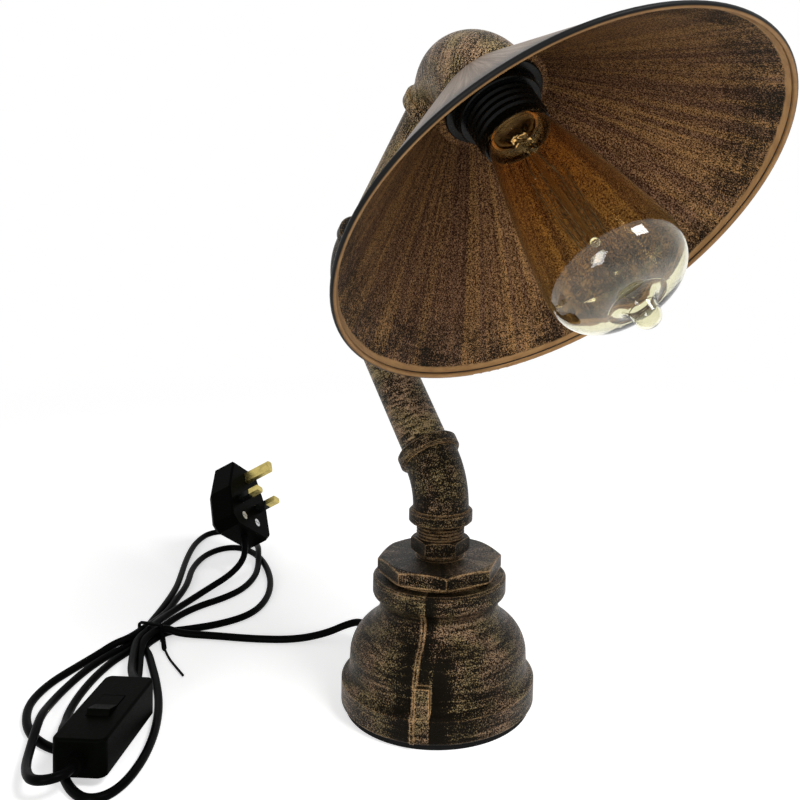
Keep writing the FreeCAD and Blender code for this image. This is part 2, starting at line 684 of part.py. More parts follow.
def contact_carrier():
    disc = rod(CARRIER_RADIUS, CARRIER_BACK, CARRIER_FRONT - 3.0)
    rim = ring(CARRIER_RADIUS, SHELL_OUTER + 0.1, CARRIER_FRONT - 3.0, CARRIER_FRONT)
    seats = [placed(rod(1.6, CARRIER_BACK, CARRIER_FRONT), move(x, 0, 0)) for x in (-10.0, 10.0)]
    body = fused([disc, rim])
    for seat in seats:
        body = body.cut(seat)
    return body


def screw_shell():
    low = CARRIER_FRONT - 2.9
    outer = threaded(SHELL_OUTER, low, SHELL_FRONT, 3.6, 0.9)
    inner = threaded(SHELL_OUTER - SHELL_WALL, low, SHELL_FRONT, 3.6, 0.9)
    return outer.cut(inner)


def centre_contact():
    foot = box(6.0, 5.0, CARRIER_FRONT - 3.0, CARRIER_FRONT - 2.4, 2.0)
    riser = box(0.6, 5.0, CARRIER_FRONT - 2.4, CARRIER_FRONT + 0.9, 4.7)
    tongue = box(7.0, 5.0, CARRIER_FRONT + 0.9, BULB_CONTACT_PLANE - 0.1, 1.5)
    return fused([foot, riser, tongue])


def terminal_screws():
    screw = rod(1.5, CARRIER_BACK + 0.2, CARRIER_FRONT - 3.0)
    return Part.makeCompound([placed(screw, move(x, 0, 0)) for x in (-10.0, 10.0)])


def shade():
    drop = SHADE_RIM_PLANE - SHADE_TOP
    run = SHADE_RIM_RADIUS - SHADE_TOP_RADIUS
    slant = math.hypot(drop, run)
    offset = SHADE_SHEET * slant / run
    edge = SHADE_RIM_RADIUS - SHADE_ROLL_RADIUS
    edge_plane = SHADE_TOP + drop * (edge - SHADE_TOP_RADIUS) / run
    sheet = turned([
        (SHADE_HOLE, SHADE_TOP),
        (SHADE_TOP_RADIUS, SHADE_TOP),
        (edge, edge_plane),
        (edge, edge_plane + offset),
        (SHADE_TOP_RADIUS - 0.5, SHADE_TOP + SHADE_SHEET),
        (SHADE_HOLE, SHADE_TOP + SHADE_SHEET),
    ])
    roll_centre = FreeCAD.Vector(0, 0, SHADE_RIM_PLANE)
    roll = Part.makeTorus(SHADE_RIM_RADIUS - SHADE_ROLL_RADIUS, SHADE_ROLL_RADIUS, roll_centre)
    return fused([sheet, roll])


# Bulb, hollow from its cap to the pip at its end
def bulb_outline(inset=0.0):
    foot = BULB_CAP_TOP
    end = BULB_END_PLANE - inset
    pip = BULB_PIP_RADIUS - inset
    tip = end + BULB_PIP_LENGTH
    wide = BULB_WIDE_RADIUS - inset
    return [
        (0, foot - 3.0),
        (BULB_SEAT_RADIUS - inset, foot - 3.0),
        (BULB_SEAT_RADIUS - inset, foot),
        ((15.3 - inset, foot + 1.0), (BULB_THROAT_RADIUS - inset, foot + 3.0)),
        (BULB_THROAT_RADIUS - inset, foot + 4.2),
        (BULB_NECK_RADIUS - inset, foot + 6.2),
        ((26.3 - inset, 72.0), (BULB_SHOULDER_RADIUS - inset, BULB_SHOULDER_PLANE)),
        ((wide, BULB_WIDE_PLANE), (wide - 0.9, BULB_WIDE_PLANE + 7.0)),
        ((27.2 - inset, end - 4.8), (15.0, end - 0.9)),
        ((pip + 2.1, end + 0.7), (pip + 0.4, end + 3.4)),
        ((pip, end + 5.0), (pip - 0.4, end + 7.4)),
        ((pip * 0.68, tip - 1.4), (BULB_PIP_FLAT, tip)),
        (0, tip),
    ]


# The bulb leans a little in its socket
def bulb_frame():
    pivot = LAMP_FRAME.multiply(move(0, 0, BULB_LEAN_PLANE)).multiply(turn(X_AXIS, -BULB_LEAN))
    return pivot.multiply(move(0, 0, -BULB_LEAN_PLANE))


def bulb_glass():
    return turned(bulb_outline()).cut(turned(bulb_outline(BULB_GLASS)))


def bulb_cap():
    low = BULB_CONTACT_PLANE + 5.4
    shell = threaded(BULB_CAP_RADIUS, low, BULB_CAP_TOP - 4.0, 3.6, 0.8)
    collar = rod(BULB_SEAT_RADIUS + 0.5, BULB_CAP_TOP - 4.2, BULB_CAP_TOP - 0.2)
    hollow = fused([
        rod(BULB_CAP_RADIUS - 1.2, low + 0.6, BULB_CAP_TOP),
        rod(BULB_SEAT_RADIUS + SOCKET_CLEARANCE, BULB_CAP_TOP - 3.2, BULB_CAP_TOP),
    ])
    return fused([shell, collar]).cut(hollow).cut(rod(9.0, low, low + 1.0))


def bulb_insulator():
    low = BULB_CONTACT_PLANE + 1.2
    return turned([(0, low), (5.2, low), (11.6, low + 4.15), (0, low + 4.15)])


def bulb_contact():
    low = BULB_CONTACT_PLANE
    return turned([(0, low), (3.4, low), (4.7, low + 1.15), (0, low + 1.15)])


def bulb_stem():
    foot = BULB_CAP_TOP - 2.8
    flare = turned([
        (11.6, foot), (11.6, foot + 1.0), (10.8, foot + 1.4),
        ((5.6, foot + 4.6), (4.0, foot + 10.0)), (3.0, foot + 10.0),
        ((4.6, foot + 4.0), (10.2, foot)),
    ])
    pinch = box(11.0, 3.0, foot + 9.0, foot + 17.0)
    support = rod(1.3, foot + 16.0, STEM_TOP)
    button = placed(Part.makeSphere(2.3), move(0, 0, STEM_TOP))
    return fused([flare, pinch, rod(3.6, foot + 8.0, foot + 10.0), support, button])


def bulb_leads():
    low = BULB_CAP_TOP + 14.6
    leads = []
    for side in (-1, 1):
        start = FreeCAD.Vector(side * 4.2, 0, low)
        corner = FreeCAD.Vector(side * 8.6, 0, FILAMENT_LOW - 3.0)
        end = FreeCAD.Vector(side * 8.6, 0, FILAMENT_LOW + 2.0)
        wire, radii = rounded_wire([start, corner, end], 4.0)
        section = Part.Wire(Part.makeCircle(0.4, start, corner.sub(start)))
        leads.append(wire.makePipeShell([section], True, False))
    return Part.makeCompound(leads)


def bulb_filament():
    strands = []
    for index in range(2 * FILAMENT_RINGS):
        angle = 22.5 + index * 180.0 / FILAMENT_RINGS
        low = FreeCAD.Vector(9.5, 0, FILAMENT_LOW + 2.4)
        high = FreeCAD.Vector(7.0, 0, FILAMENT_HIGH)
        strand = Part.makeCylinder(FILAMENT_WIRE, high.sub(low).Length, low, high.sub(low))
        strands.append(placed(strand, turn(Z_AXIS, angle)))
    return Part.makeCompound(strands)


# Cord, loops and tie
def vectors(points):
    return [FreeCAD.Vector(*each) for each in points]


def slab(outline, low, high):
    corners = [FreeCAD.Vector(x, y, low) for x, y in outline]
    return Part.Face(Part.makePolygon(corners + corners[:1])).extrude(FreeCAD.Vector(0, 0, high - low))


def tie_frame():
    return move(TIE_CENTRE[0], TIE_CENTRE[1], 0).multiply(turn(Z_AXIS, TIE_AZIMUTH))


def cord_hank():
    loops = [slab(UPPER_LOOPS, 0, HANK_HEIGHT), slab(LOWER_LOOPS, 0, HANK_HEIGHT)]
    groove = placed(box(TIE_GROOVE, 80.0, 0, HANK_HEIGHT), tie_frame())
    neck = placed(box(TIE_NECK_LENGTH, TIE_NECK_WIDTH, 0, HANK_HEIGHT), tie_frame())
    bundle = fused([loops[0].cut(groove), loops[1].cut(groove), neck])
    pocket = placed(switch_block(0.4, HANK_UNDER_SWITCH - 0.1, HANK_HEIGHT), switch_frame(0.0))
    return bundle.cut(pocket)


def twist_tie():
    side = TIE_NECK_WIDTH / 2 + TIE_GAP + TIE_WIRE_RADIUS
    top = HANK_HEIGHT + TIE_GAP + TIE_WIRE_RADIUS
    turns = []
    for x in (-TIE_TURN_SPACING / 2, TIE_TURN_SPACING / 2):
        corners = [(x, -side, 0.1), (x, -side, top), (x, side, top), (x, side, 0.1)]
        turns.append(tube("twist_tie turn", vectors(corners), TIE_WIRE_RADIUS, TIE_BEND))
    start, end = vectors([TIE_KNOT_START, TIE_KNOT_END])
    along = end.sub(start)
    twists = threaded(TIE_KNOT_RADIUS, 0, along.Length, 2 * TIE_WIRE_RADIUS, 0.4)
    knot = placed(twists, FreeCAD.Placement(start, FreeCAD.Rotation(Z_AXIS, along)))
    tail = tube("twist_tie tail", vectors(TIE_TAIL), TIE_WIRE_RADIUS)
    return placed(fused(turns + [knot, tail]), tie_frame())


# Inline switch
def switch_frame(height):
    lift = move(SWITCH_CENTRE[0], SWITCH_CENTRE[1], height)
    return lift.multiply(turn(Z_AXIS, SWITCH_AZIMUTH))


def switch_block(grow, low, high):
    body = box(SWITCH_LENGTH + 2 * grow, SWITCH_WIDTH + 2 * grow, low, high)
    nose_length = SWITCH_LENGTH + 2 * SWITCH_NOSE_LENGTH + 2 * grow
    nose = box(nose_length, 2 * SWITCH_NOSE_RADIUS + 2 * grow, low, high)
    return fused([body, nose])


def rounded_block(low, high, inset=0.0):
    body = box(SWITCH_LENGTH - 2 * inset, SWITCH_WIDTH - 2 * inset, low, high)
    upright = [edge for edge in body.Edges if abs(edge.tangentAt(edge.FirstParameter).z) > 0.9]
    return body.makeFillet(4.0 - inset, upright)


def switch_noses():
    reach = SWITCH_LENGTH / 2 + SWITCH_NOSE_LENGTH
    start = FreeCAD.Vector(-reach, 0, SWITCH_SPLIT)
    bar = Part.makeCylinder(SWITCH_NOSE_RADIUS, 2 * reach, start, X_AXIS)
    return bar.cut(rounded_block(0, SWITCH_HEIGHT, SWITCH_WALL))


def posts(radius, low, high):
    return [placed(rod(radius, low, high), move(x, y, 0)) for x, y in SWITCH_POSTS]


def switch_base():
    shell = rounded_block(0, SWITCH_SPLIT).cut(rounded_block(SWITCH_WALL, SWITCH_SPLIT, SWITCH_WALL))
    lower_half = box(200, 60, -20, SWITCH_SPLIT)
    legs = posts(POST_RADIUS, SWITCH_WALL - 0.5, SWITCH_SPLIT)
    body = fused([shell, switch_noses().common(lower_half)] + legs)
    holes = posts(SCREW_RADIUS + SOCKET_CLEARANCE, 0, SWITCH_SPLIT)
    for hole in holes + posts(SCREW_HEAD_RADIUS + 0.1, 0, 1.4):
        body = body.cut(hole)
    return body


def switch_cover():
    shell = rounded_block(SWITCH_SPLIT, SWITCH_HEIGHT)
    top_edges = [edge for edge in shell.Edges if edge.BoundBox.ZMin > SWITCH_HEIGHT - 0.01]
    shell = shell.makeFillet(1.4, top_edges)
    shell = shell.cut(rounded_block(SWITCH_SPLIT, SWITCH_HEIGHT - SWITCH_WALL, SWITCH_WALL))
    upper_half = box(200, 60, SWITCH_SPLIT, 40)
    opening_length = ROCKER_LENGTH + 2 * ROCKER_GAP
    opening_width = ROCKER_WIDTH + 2 * ROCKER_GAP
    opening = box(opening_length, opening_width, SWITCH_SPLIT, SWITCH_HEIGHT + 1)
    cheek_width = ROCKER_WIDTH + 2 * ROCKER_GAP + 4.0
    cheeks = box(ROCKER_LENGTH, cheek_width, SWITCH_SPLIT + 3.5, SWITCH_HEIGHT - 1.0)
    legs = posts(POST_RADIUS, SWITCH_SPLIT, SWITCH_HEIGHT - 1.0)
    body = fused([shell, switch_noses().common(upper_half), cheeks] + legs)
    axle_start = FreeCAD.Vector(0, -cheek_width / 2, ROCKER_PIVOT_HEIGHT)
    axle = Part.makeCylinder(TRUNNION_RADIUS + TRUNNION_CLEARANCE, cheek_width, axle_start, Y_AXIS)
    body = body.cut(opening).cut(axle)
    for hole in posts(SCREW_RADIUS + SOCKET_CLEARANCE, SWITCH_SPLIT, SWITCH_HEIGHT - 4.0):
        body = body.cut(hole)
    return body


def switch_rocker():
    pivot = FreeCAD.Vector(0, -ROCKER_WIDTH / 2, ROCKER_PIVOT_HEIGHT)
    top = SWITCH_HEIGHT + ROCKER_PROUD
    half = ROCKER_LENGTH / 2
    corners = [(-half, 12.6), (half, 12.6), (half, top), (0, top - 1.3), (-half, top), (-half, 12.6)]
    face = Part.Face(Part.makePolygon([FreeCAD.Vector(x, -ROCKER_WIDTH / 2, z) for x, z in corners]))
    paddle = face.extrude(FreeCAD.Vector(0, ROCKER_WIDTH, 0))
    paddle = paddle.common(Part.makeCylinder(half, ROCKER_WIDTH, pivot, Y_AXIS))
    axle_length = ROCKER_WIDTH + 2 * ROCKER_GAP + 3.4
    axle_start = FreeCAD.Vector(0, -axle_length / 2, ROCKER_PIVOT_HEIGHT)
    rocker = fused([paddle, Part.makeCylinder(TRUNNION_RADIUS, axle_length, axle_start, Y_AXIS)])
    rocker.rotate(FreeCAD.Vector(0, 0, ROCKER_PIVOT_HEIGHT), Y_AXIS, -ROCKER_TILT)
    return rocker


def switch_terminals():
    blocks = []
    for x in (-17.0, 17.0):
        for y in (-4.5, 4.5):
            block = box(7.0, 5.0, SWITCH_WALL, SWITCH_WALL + 5.0, x, y)
            bore = placed(rod(1.0, SWITCH_WALL + 2.0, SWITCH_WALL + 5.0), move(x, y, 0))
            blocks.append(block.cut(bore))
    return Part.makeCompound(blocks)


def switch_contact():
    return box(14.0, 3.0, SWITCH_SPLIT + 1.0, SWITCH_SPLIT + 1.6)


def switch_screws():
    screws = []
    shanks = posts(SCREW_RADIUS, 1.0, SWITCH_HEIGHT - 5.0)
    heads = posts(SCREW_HEAD_RADIUS, 0.1, 1.3)
    for shank, head in zip(shanks, heads):
        screws.append(fused([shank, head]))
    return Part.makeCompound(screws)


# Plug
def plug_frame():
    x_axis = FreeCAD.Vector(*PLUG_X_AXIS)
    z_axis = FreeCAD.Vector(*PLUG_Z_AXIS)
    y_axis = z_axis.cross(x_axis)
    return FreeCAD.Placement(FreeCAD.Vector(*PLUG_PLACE), FreeCAD.Rotation(x_axis, y_axis, z_axis, "ZXY"))


def plug_outline(inset, low, high):
    wide = PLUG_HALF_WIDTH - inset
    narrow = PLUG_TOP_HALF_WIDTH - inset
    corners = [
        (-wide + 6, PLUG_LOW + inset), (wide - 6, PLUG_LOW + inset), (wide, PLUG_LOW + 6), (wide, 6.0),
        (narrow, PLUG_HIGH - inset), (-narrow, PLUG_HIGH - inset), (-wide, 6.0), (-wide, PLUG_LOW + 6),
    ]
    return slab(corners, low, high)


def pin_places():
    return {"earth": (0.0, PIN_SPACING), "line": (PIN_SPACING / 2, 0.0), "neutral": (-PIN_SPACING / 2, 0.0)}


def pin_box(name, size, grow, low, high):
    x, y = pin_places()[name]
    return box(size[0] + 2 * grow, size[1] + 2 * grow, low, high, x, y)


def plug_pin(name):
    size = EARTH_PIN if name == "earth" else LIVE_PIN
    bar = pin_box(name, size, 0, -PIN_INSIDE, size[2])
    tip = [edge for edge in bar.Edges if edge.BoundBox.ZMin > size[2] - 0.01]
    bar = bar.makeChamfer(0.9, tip)
    if name == "earth":
        return bar
    core = pin_box(name, size, -0.7, -1.0, PIN_SLEEVE_LENGTH)
    return bar.cut(pin_box(name, size, 1.0, 0, PIN_SLEEVE_LENGTH).cut(core))


def plug_pin_sleeves():
    sleeves = []
    for name in ("line", "neutral"):
        tube_box = pin_box(name, LIVE_PIN, 0, 0.05, PIN_SLEEVE_LENGTH - 0.05)
        sleeves.append(tube_box.cut(pin_box(name, LIVE_PIN, -0.7 + SOCKET_CLEARANCE, 0, PIN_SLEEVE_LENGTH)))
    return Part.makeCompound(sleeves)


def plug_cord_hole():
    start = FreeCAD.Vector(0, PLUG_LOW - 1, PLUG_CORD_Z)
    return Part.makeCylinder(CORD_RADIUS + 0.15, 9.0, start, Y_AXIS)


def plug_base():
    plate = plug_outline(0.0, PLUG_SPLIT, 0)
    face_edges = [edge for edge in plate.Edges if edge.BoundBox.ZMin > -0.01]
    plate = plate.makeChamfer(1.2, face_edges)
    plate = plate.cut(plug_outline(2.0, PLUG_SPLIT, PLUG_SPLIT + 4.0))
    for name in pin_places():
        size = EARTH_PIN if name == "earth" else LIVE_PIN
        plate = plate.cut(pin_box(name, size, SOCKET_CLEARANCE, PLUG_SPLIT, 0))
    for x, y in PLUG_GRIP_SCREWS + (PLUG_COVER_SCREW,):
        plate = plate.cut(placed(rod(1.6, PLUG_SPLIT, 0), move(x, y, 0)))
        plate = plate.cut(placed(rod(3.2, -1.6, 0), move(x, y, 0)))
    return plate.cut(plug_cord_hole())


def plug_cover():
    back = -PLUG_DEPTH
    shell = plug_outline(0.0, back, PLUG_SPLIT)
    back_edges = [edge for edge in shell.Edges if edge.BoundBox.ZMax < back + 0.01]
    shell = shell.makeChamfer(3.0, back_edges)
    shell = shell.cut(plug_outline(2.2, back + 2.2, PLUG_SPLIT))
    post = placed(rod(3.4, back + 1.0, PLUG_SPLIT), move(PLUG_COVER_SCREW[0], PLUG_COVER_SCREW[1], 0))
    hole = placed(rod(1.5, back + 4.0, PLUG_SPLIT), move(PLUG_COVER_SCREW[0], PLUG_COVER_SCREW[1], 0))
    return fused([shell, post]).cut(hole).cut(plug_cord_hole())


def plug_screw(x, y, low):
    slot = box(5.0, 0.8, -0.9, 0, x, y)
    return placed(fused([rod(1.45, low, -0.5), rod(3.0, -1.5, -0.2)]), move(x, y, 0)).cut(slot)


def plug_grip_screws():
    return Part.makeCompound([plug_screw(x, y, PLUG_SPLIT - 3.6) for x, y in PLUG_GRIP_SCREWS])


def plug_cover_screw():
    return plug_screw(PLUG_COVER_SCREW[0], PLUG_COVER_SCREW[1], -PLUG_DEPTH + 6.0)


def plug_cord_grip():
    bar = box(24.0, 6.0, PLUG_SPLIT - 7.0, PLUG_SPLIT - 3.8, 0, PLUG_GRIP_SCREWS[0][1])
    return bar


def plug_fuse():
    start = FreeCAD.Vector(FUSE_X, -2.0, FUSE_Z)
    return Part.makeCylinder(2.6, 20.0, start, Y_AXIS)


def plug_fuse_clips():
    clips = []
    for y in (0.5, 15.5):
        clip = box(6.6, 2.4, FUSE_Z - 3.2, FUSE_Z + 2.8, FUSE_X, y)
        bore = Part.makeCylinder(2.65, 4.0, FreeCAD.Vector(FUSE_X, y - 2.0, FUSE_Z), Y_AXIS)
        slot = box(3.0, 4.0, FUSE_Z, FUSE_Z + 4.0, FUSE_X, y)
        clips.append(clip.cut(bore).cut(slot))
    return Part.makeCompound(clips)


def nodes():
    holder = {
        "holder_plug": holder_plug(),
        "holder_tube": holder_tube(),
        "tube_locknut": tube_locknut(),
        "shade": shade(),
        "holder_cap": holder_cap(),
        "holder_skirt": holder_skirt(),
        "shade_ring": shade_ring(),
        "contact_carrier": contact_carrier(),
        "screw_shell": screw_shell(),
        "centre_contact": centre_contact(),
        "terminal_screws": terminal_screws(),
    }
    bulb = {
        "bulb_glass": bulb_glass(),
        "bulb_cap": bulb_cap(),
        "bulb_insulator": bulb_insulator(),
        "bulb_contact": bulb_contact(),
        "bulb_stem": bulb_stem(),
        "bulb_leads": bulb_leads(),
        "bulb_filament": bulb_filament(),
    }
    switch = {
        "switch_base": switch_base(),
        "switch_cover": switch_cover(),
        "switch_rocker": switch_rocker(),
        "switch_terminals": switch_terminals(),
        "switch_contact": switch_contact(),
        "switch_screws": switch_screws(),
    }
    plug = {
        "plug_base": plug_base(),
        "plug_cover": plug_cover(),
        "plug_earth_pin": plug_pin("earth"),
        "plug_line_pin": plug_pin("line"),
        "plug_neutral_pin": plug_pin("neutral"),
        "plug_pin_sleeves": plug_pin_sleeves(),
        "plug_grip_screws": plug_grip_screws(),
        "plug_cover_screw": plug_cover_screw(),
        "plug_cord_grip": plug_cord_grip(),
        "plug_fuse": plug_fuse(),
        "plug_fuse_clips": plug_fuse_clips(),
    }
    whole = {
        "base_pad": base_pad(),
        "base_reducer": base_reducer(),
        "octagon_bush": octagon_bush(),
        "hex_nipple": hex_nipple(),
        "cord_gland": cord_gland(),
        "gland_nut": gland_nut(),
        "base_lead": base_lead(),
        "lower_elbow": lower_elbow(),
        "lower_pipe": lower_pipe(),
        "arm_lead": arm_lead(),
        "middle_elbow": middle_elbow(),
        "upper_pipe": upper_pipe(),
        "forearm_lead": forearm_lead(),
        "top_elbow": top_elbow(),
        "head_lead": head_lead(),
        "cord_lead": tube("cord_lead", vectors(CORD_ROUTE), CORD_RADIUS),
        "cord_plug_lead": tube("cord_plug_lead", vectors(PLUG_LEAD_ROUTE), CORD_RADIUS),
        "cord_hank": cord_hank(),
        "twist_tie": twist_tie(),
    }
    for name, shape in holder.items():
        whole[name] = placed(shape, LAMP_FRAME)
    for name, shape in bulb.items():
        whole[name] = placed(shape, bulb_frame())
    for name, shape in switch.items():
        whole[name] = placed(shape, switch_frame(HANK_UNDER_SWITCH))
    for name, shape in plug.items():
        whole[name] = placed(shape, plug_frame())
    return whole


os.makedirs("parts", exist_ok=True)
for node, shape in nodes().items():
    if not shape.isValid() or not shape.Solids:
        print(f"{node}: not a valid solid")
    shape.exportStep(f"parts/{node}.step")
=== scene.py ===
import math

import bmesh
import bpy
from mathutils import Matrix, Vector


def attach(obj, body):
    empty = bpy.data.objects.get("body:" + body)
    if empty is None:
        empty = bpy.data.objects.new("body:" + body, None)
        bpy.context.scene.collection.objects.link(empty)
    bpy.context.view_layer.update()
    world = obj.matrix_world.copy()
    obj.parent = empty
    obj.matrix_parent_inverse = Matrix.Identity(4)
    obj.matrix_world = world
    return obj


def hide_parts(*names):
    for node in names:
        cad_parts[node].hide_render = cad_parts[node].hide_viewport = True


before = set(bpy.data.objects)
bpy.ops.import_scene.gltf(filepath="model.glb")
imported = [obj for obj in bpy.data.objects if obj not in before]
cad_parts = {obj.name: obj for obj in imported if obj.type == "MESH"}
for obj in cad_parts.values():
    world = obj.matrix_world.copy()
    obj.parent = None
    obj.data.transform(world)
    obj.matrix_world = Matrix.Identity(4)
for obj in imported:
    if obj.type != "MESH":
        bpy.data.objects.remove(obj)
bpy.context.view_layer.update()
scene = bpy.context.scene

# Frames of the arm, in metres
ARM_AXIS = Vector((0, 0.70711, 0.70711))
FOREARM_AXIS = Vector((0, -0.70711, 0.70711))
LAMP_AXIS = Vector((0.036644, -0.706632, -0.706632)).normalized()
LAMP_FACE = Vector((0.0013265, -0.0371766, 0.3288267))
BASE_CENTRE = Vector((0, 0, 0))
VERTICAL = Vector((0, 0, 1))
LOWER_CORNER = Vector((0, 0, 0.1229))
MIDDLE_CORNER = LOWER_CORNER + 0.1555 * ARM_AXIS
TOP_CORNER = MIDDLE_CORNER + 0.1719 * FOREARM_AXIS

# Camera, from the photograph's vanishing lines and the known sizes
AZIMUTH = math.radians(-35.91)
ELEVATION = math.radians(2.63)
ROLL = math.radians(1.16)
CAMERA_PLACE = Vector((-0.2903, -0.4250, 0.2670))
FRAME_PIXELS = 800
FOCAL_PIXELS = 945.83
CENTRE_PIXEL = (471.52, 262.77)
SENSOR_WIDTH = 36.0
back = Vector((
    math.sin(AZIMUTH) * math.cos(ELEVATION),
    -math.cos(AZIMUTH) * math.cos(ELEVATION),
    math.sin(ELEVATION),
))
level = Vector((math.cos(AZIMUTH), math.sin(AZIMUTH), 0))
upward = back.cross(level)
right = level * math.cos(ROLL) + upward * math.sin(ROLL)
up = upward * math.cos(ROLL) - level * math.sin(ROLL)
camera_data = bpy.data.cameras.new("camera")
camera_data.sensor_width = SENSOR_WIDTH
camera_data.lens = FOCAL_PIXELS * SENSOR_WIDTH / FRAME_PIXELS
camera_data.shift_x = (FRAME_PIXELS / 2 - CENTRE_PIXEL[0]) / FRAME_PIXELS
camera_data.shift_y = (CENTRE_PIXEL[1] - FRAME_PIXELS / 2) / FRAME_PIXELS
camera_data.clip_start = 0.01
camera = bpy.data.objects.new("camera", camera_data)
turned = Matrix((right, up, back)).transposed().to_4x4()
camera.matrix_world = Matrix.Translation(CAMERA_PLACE) @ turned
scene.collection.objects.link(camera)
scene.camera = camera


class Shader:
    """A material with one surface shader, and the nodes that feed it."""

    def __init__(self, name):
        self.material = bpy.data.materials.new(name)
        self.material.use_nodes = True
        self.tree = self.material.node_tree
        self.tree.nodes.clear()
        self.surface = self.add("ShaderNodeBsdfPrincipled")
        output = self.add("ShaderNodeOutputMaterial")
        self.join(self.surface.outputs[0], output.inputs["Surface"])
        self.place = self.add("ShaderNodeTexCoord").outputs["Object"]

    def add(self, kind, **settings):
        node = self.tree.nodes.new(kind)
        for key, value in settings.items():
            setattr(node, key, value)
        return node

    def join(self, source, target):
        self.tree.links.new(source, target)

    def feed(self, socket, value):
        if isinstance(value, bpy.types.NodeSocket):
            self.join(value, socket)
        else:
            socket.default_value = value

    def set(self, **values):
        for key, value in values.items():
            self.feed(self.surface.inputs[key.replace("_", " ")], value)

    def math(self, operation, first, second=0.0, third=0.0):
        node = self.add("ShaderNodeMath", operation=operation)
        for socket, value in zip(node.inputs, (first, second, third)):
            self.feed(socket, value)
        return node.outputs[0]

    def plus(self, first, second):
        return self.math("ADD", first, second)

    def minus(self, first, second):
        return self.math("SUBTRACT", first, second)

    def times(self, first, second):
        return self.math("MULTIPLY", first, second)

    def weighted(self, *terms):
        total = self.times(*terms[0])
        for value, weight in terms[1:]:
            total = self.plus(total, self.times(value, weight))
        return total

    def vector(self, operation, first, second=(0, 0, 0)):
        node = self.add("ShaderNodeVectorMath", operation=operation)
        self.feed(node.inputs[0], first)
        self.feed(node.inputs[1], second)
        kind = "Value" if operation in ("DOT_PRODUCT", "LENGTH") else "Vector"
        return node.outputs[kind]

    def along(self, origin, axis):
        away = self.vector("SUBTRACT", self.place, tuple(origin))
        return self.vector("DOT_PRODUCT", away, tuple(axis))

    def combine(self, x, y, z):
        node = self.add("ShaderNodeCombineXYZ")
        for socket, value in zip(node.inputs, (x, y, z)):
            self.feed(socket, value)
        return node.outputs[0]

    def noise(self, where, scale, detail=4.0, roughness=0.6, distortion=0.0):
        node = self.add("ShaderNodeTexNoise")
        self.feed(node.inputs["Vector"], where)
        node.inputs["Scale"].default_value = scale
        node.inputs["Detail"].default_value = detail
        node.inputs["Roughness"].default_value = roughness
        node.inputs["Distortion"].default_value = distortion
        return node.outputs["Fac"]

    def ramp(self, value, low, high, floor=0.0, ceiling=1.0):
        node = self.add("ShaderNodeMapRange", interpolation_type="SMOOTHSTEP")
        self.feed(node.inputs["Value"], value)
        limits = {"From Min": low, "From Max": high, "To Min": floor, "To Max": ceiling}
        for key, number in limits.items():
            node.inputs[key].default_value = number
        return node.outputs[0]

    def mix(self, share, first, second):
        node = self.add("ShaderNodeMix", data_type="RGBA")
        self.feed(node.inputs[0], share)
        for socket, value in ((node.inputs[6], first), (node.inputs[7], second)):
            plain = not isinstance(value, bpy.types.NodeSocket)
            self.feed(socket, (*value, 1.0) if plain else value)
        return node.outputs[2]

    def edge(self, radius):
        bevel = self.add("ShaderNodeBevel", samples=6)
        bevel.inputs["Radius"].default_value = radius
        flat = self.add("ShaderNodeNewGeometry").outputs["Normal"]
        return self.minus(1.0, self.vector("DOT_PRODUCT", bevel.outputs[0], flat))

    def bump(self, height, strength, distance):
        node = self.add("ShaderNodeBump")
        self.feed(node.inputs["Height"], height)
        node.inputs["Strength"].default_value = strength
        node.inputs["Distance"].default_value = distance
        self.join(node.outputs[0], self.surface.inputs["Normal"])


def from_axis(shader, origin, axis):
    """Distance along an axis, distance from it, and the outward direction there."""
    distance = shader.along(origin, axis)
    away = shader.vector("SUBTRACT", shader.place, tuple(origin))
    foot = shader.add("ShaderNodeVectorMath", operation="SCALE")
    foot.inputs[0].default_value = tuple(axis)
    shader.join(distance, foot.inputs["Scale"])
    outward = shader.vector("SUBTRACT", away, foot.outputs[0])
    radius = shader.vector("LENGTH", outward)
    return distance, radius, shader.vector("NORMALIZE", outward)


def streaks(shader, origin, axis, round_scale, long_scale, detail=4.0):
    """Noise that runs in long strokes down an axis."""
    distance, _, direction = from_axis(shader, origin, axis)
    spread = shader.vector("MULTIPLY", direction, (round_scale,) * 3)
    push = shader.combine(shader.times(distance, long_scale), 0.0, 0.0)
    return shader.noise(shader.vector("ADD", spread, push), 1.0, detail, 0.6)


def hoops(shader, origin, axis, long_scale, round_scale, detail=4.0):
    """Noise that runs in strokes round an axis."""
    distance, _, direction = from_axis(shader, origin, axis)
    spread = shader.vector("MULTIPLY", direction, (round_scale,) * 3)
    push = shader.combine(0.0, 0.0, shader.times(distance, long_scale))
    return shader.noise(shader.vector("ADD", spread, push), 1.0, detail, 0.65)


def grain(shader, scale):
    """Worm-like raised grain of rubbed paint, 0 in its hollows and 1 on its ridges."""
    coarse = shader.noise(shader.place, scale, 1.5, 0.5, 0.6)
    fine = shader.noise(shader.place, scale * 2.3, 1.0, 0.5, 0.3)
    return shader.weighted((coarse, 0.72), (fine, 0.28))


# Colours of the castings and pipes: the ground, two tints of the rubbed bronze, and worn edges
DARK = (0.0040, 0.0028, 0.0012)
OLIVE = (0.225, 0.165, 0.078)
PINK = (0.270, 0.172, 0.100)
WORN = (0.52, 0.32, 0.15)
RUBBED_METALLIC = 0.5
DULL_SPECULAR = 0.05

